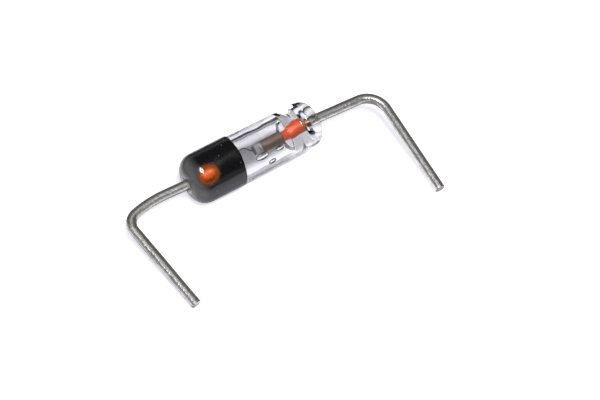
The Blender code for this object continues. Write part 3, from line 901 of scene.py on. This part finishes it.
class DIODE_OT_inner_pieces(bpy.types.Operator):
    """Finish the seal wires, post, solder, crystal, whisker and weld"""

    bl_idname = "diode.inner_pieces"
    bl_label = "Inner Pieces"

    def execute(self, context):
        s = context.scene.diode_inside
        glass = context.scene.diode_glass
        bare_length = 0.08 * MM
        seal = seal_wire_material(s, PAINTED_GLASS_END + glass.length - glass.recess_depth
                                  - bare_length)
        dress_node("painted_end_seal_wire", seal)
        dress_node("clear_end_seal_wire", seal)
        dress_node("crystal_holder", small_metal_material("nickel_cup", s.post_colour, 0.5, 0.4))
        solder = small_metal_material("soft_solder", s.solder_colour, 0.5, 0.5)
        dress_node("crystal_solder", solder)
        dress_node("whisker_weld", solder)
        dress_node("germanium_crystal",
                   small_metal_material("etched_germanium", s.crystal_colour, 0.4, 0.4))
        dress_node("contact_whisker",
                   small_metal_material("whisker_wire", s.whisker_colour, 0.25))
        return {"FINISHED"}


# The stage


def floor_material(settings):
    """White table: it keeps the shadow and lifts to full white where it is seen unshaded.

    As the glass and the metal show it, it dims with distance and is brightest close before the
    tube. That stands in for light which the glass gathers there. A band under the tube isn't
    lifted, as the contact shadow.
    """
    material, tree, shader = new_material("white_table")
    shader.inputs["Roughness"].default_value = 0.7
    shader.inputs["Specular IOR Level"].default_value = 0.2
    place = tree.object_place()
    parts = tree.split(place)
    path = tree.add("ShaderNodeLightPath").outputs
    far = tree.vector_value("DISTANCE", place, (0.0, AXIS_Y, 0.0))
    reach = settings.reach

    def across(edge, low=0.0, high=1.0, smooth=True):
        """Mask that changes over an edge along Y."""
        return tree.ramp(parts["Y"], AXIS_Y + edge[0] * MM, AXIS_Y + edge[1] * MM,
                         low, high, smooth)

    def along(start, length, low=0.0, high=1.0, smooth=False):
        """Mask that changes over a length along X."""
        return tree.ramp(parts["X"], start, start + length, low, high, smooth)

    past_bore = tree.math("GREATER_THAN", path["Transmission Depth"], BORE_SURFACES)
    in_front = tree.product(tree.ramp(far, 2.0 * reach, 2.6 * reach, 1.0, 0.0, smooth=True),
                            across(MIRRORED_BACK, 1.0, 0.0),
                            tree.opposite(path["Transmission Depth"]))
    in_reach = tree.math("MAXIMUM", in_front,
                         tree.ramp(far, reach, 1.3 * reach, 1.0, 0.0, smooth=True))
    shade = tree.product(across(SHADE_FRONT, 0.0, settings.shade), across(SHADE_BACK, 1.0, 0.0),
                         along(CLEAR_BEAD_LOW.x, MM, 1.0, 0.0), tree.opposite(past_bore))
    near = tree.product(in_reach, tree.opposite(shade))
    in_part = tree.math("MAXIMUM", path["Is Glossy Ray"], path["Is Transmission Ray"])
    in_part_colour = tree.mix(near, settings.far_colour, settings.near_colour)
    tree.feed(tree.mix(in_part, settings.floor_colour, in_part_colour),
              shader.inputs["Base Color"])

    gathered = tree.product(across(GATHERED_BACK), along(COAT_HIGH.x, 0.5 * MM), past_bore)
    in_bead = along(CLEAR_BEAD_LOW.x, 0.5 * MM, 0.0, settings.lift_bead)
    amount = tree.math("MULTIPLY_ADD", gathered, settings.lift_gathered,
                       tree.math("ADD", in_bead, settings.lift_through))
    amount = tree.product(amount, near, in_part)
    amount = tree.math("MULTIPLY_ADD", tree.product(in_front, path["Is Glossy Ray"]),
                       settings.lift_mirrored, amount)
    contact = tree.product(across(CONTACT_FRONT), across(CONTACT_BACK, 1.0, 0.0, smooth=False),
                           along(COAT_LOW.x + MM, MM, 0.0, 0.8, smooth=True),
                           along(CLEAR_BEAD_HIGH.x - 0.8 * MM, 0.8 * MM, 1.0, 0.0, smooth=True))
    direct = tree.ramp(contact, 0.0, 1.0, settings.lift_direct, 0.0)
    amount = tree.math("MULTIPLY_ADD", path["Is Camera Ray"], direct, amount)
    lift = tree.add("ShaderNodeEmission")
    lift.inputs["Color"].default_value = (*settings.lift_colour, 1.0)
    tree.feed(amount, lift.inputs["Strength"])
    total = tree.add("ShaderNodeAddShader")
    tree.feed(shader.outputs[0], total.inputs[0])
    tree.feed(lift.outputs[0], total.inputs[1])
    tree.feed(total.outputs[0], tree.nodes["Material Output"].inputs["Surface"])
    return material


def room_world(settings):
    """Room light, paler towards the horizon and plain white where the camera sees it."""
    world = bpy.data.worlds.new("room")
    world.use_nodes = True
    tree = NodeTree(world.node_tree)
    direction = tree.add("ShaderNodeTexCoord").outputs["Generated"]
    height = tree.ramp(tree.split(direction)["Z"], 0.0, 0.4, smooth=True)
    room = tree.mix(height, settings.horizon_colour, settings.ceiling_colour)
    path = tree.add("ShaderNodeLightPath").outputs
    shown = tree.mix(path["Is Camera Ray"], room, (1.0, 1.0, 1.0))
    tree.feed(shown, tree.nodes["Background"].inputs["Color"])
    return world


def add_lamp(name, size, power, place):
    """Add a square lamp that points at the part."""
    data = bpy.data.lights.new(name, "AREA")
    data.shape = "RECTANGLE"
    data.size = data.size_y = size
    data.energy = power
    lamp = bpy.data.objects.new(name, data)
    lamp.location = place
    lamp.rotation_euler = (-Vector(place)).to_track_quat("-Z", "Y").to_euler()
    bpy.context.scene.collection.objects.link(lamp)
    return lamp


def share_lamps(outside, inside, on_table, table):
    """Give each lamp its pieces: the outside, the pieces in the glass, and the table.

    A lamp's shadow rays don't pass through glass, so the second lights the inner pieces as if
    they lay in the open. The third draws the table's shadows close to the leads.
    """
    pieces = [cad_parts[name] for name in INNER_NODES]
    inner = bpy.data.collections.new("lit_in_glass")
    others = bpy.data.collections.new("lit_in_the_open")
    for piece in pieces:
        inner.objects.link(piece)
    for piece in pieces + [table]:
        others.objects.link(piece)
    for item in others.collection_objects:
        item.light_linking.link_state = "EXCLUDE"
    only_table = bpy.data.collections.new("lit_table")
    only_table.objects.link(table)
    inside.light_linking.receiver_collection = inner
    inside.light_linking.blocker_collection = inner
    outside.light_linking.receiver_collection = others
    on_table.light_linking.receiver_collection = only_table


class DIODE_OT_stage(bpy.types.Operator):
    """Build the camera, the lamps, the room light and the white table"""

    bl_idname = "diode.stage"
    bl_label = "Stage"

    def execute(self, context):
        scene = context.scene
        s = scene.diode_stage
        scene.view_settings.view_transform = "Standard"
        aim = Vector((PAINTED_GLASS_END + s.target_x, AXIS_Y - s.target_y, s.target_z))
        back = Vector((sin(s.azimuth) * cos(s.elevation), -cos(s.azimuth) * cos(s.elevation),
                       sin(s.elevation)))
        data = bpy.data.cameras.new("camera")
        data.lens = s.lens
        data.sensor_width = 36.0
        data.clip_start = 1.0 * MM
        data.clip_end = 10.0
        camera = bpy.data.objects.new("camera", data)
        camera.location = aim + back * s.distance
        camera.rotation_euler = back.to_track_quat("Z", "Y").to_euler()
        scene.collection.objects.link(camera)
        scene.camera = camera
        scene.world = room_world(s)

        lamps = (
            add_lamp("overhead_softbox", s.lamp_size, s.lamp_power, LAMP_PLACE),
            add_lamp("overhead_softbox_in_glass", s.lamp_size, s.inner_power, LAMP_PLACE),
            add_lamp("table_softbox", s.table_lamp_size, s.table_power, TABLE_LAMP_PLACE))

        bm = bmesh.new()
        bmesh.ops.create_grid(bm, x_segments=8, y_segments=8, size=TABLE_HALF_SIZE)
        mesh = bpy.data.meshes.new("table")
        bm.to_mesh(mesh)
        bm.free()
        mesh.materials.append(floor_material(s))
        table = bpy.data.objects.new("table", mesh)
        scene.collection.objects.link(table)
        share_lamps(*lamps, table)
        return {"FINISHED"}


class DIODE_PT_panel(bpy.types.Panel):
    """Sidebar panel that lists the diode's pieces"""

    bl_label = "Germanium Diode"
    bl_idname = "DIODE_PT_panel"
    bl_space_type = "VIEW_3D"
    bl_region_type = "UI"
    bl_category = "Diode"

    def draw(self, context):
        layout = self.layout
        for operator in OPERATORS:
            layout.operator(operator.bl_idname)
        for name, group in SETTINGS:
            settings = getattr(context.scene, name)
            box = layout.box()
            for key in group.bl_rna.properties.keys():
                if key not in ("rna_type", "name"):
                    box.prop(settings, key)


SETTINGS = (
    ("diode_glass", DiodeGlassSettings),
    ("diode_lacquer", DiodeLacquerSettings),
    ("diode_leads", DiodeLeadSettings),
    ("diode_inside", DiodeInsideSettings),
    ("diode_stage", DiodeStageSettings),
)
OPERATORS = (
    DIODE_OT_stage,
    DIODE_OT_fused_glass,
    DIODE_OT_lacquer_skin,
    DIODE_OT_leads,
    DIODE_OT_inner_pieces,
)


def register():
    for name, group in SETTINGS:
        bpy.utils.register_class(group)
        setattr(bpy.types.Scene, name, PointerProperty(type=group))
    for operator in OPERATORS:
        bpy.utils.register_class(operator)
    bpy.utils.register_class(DIODE_PT_panel)


def unregister():
    bpy.utils.unregister_class(DIODE_PT_panel)
    for operator in reversed(OPERATORS):
        bpy.utils.unregister_class(operator)
    for name, group in reversed(SETTINGS):
        delattr(bpy.types.Scene, name)
        bpy.utils.unregister_class(group)


def main():
    register()
    bpy.ops.diode.stage()
    bpy.ops.diode.fused_glass()
    bpy.ops.diode.lacquer_skin()
    bpy.ops.diode.leads()
    bpy.ops.diode.inner_pieces()


if __name__ == "__main__":
    main()
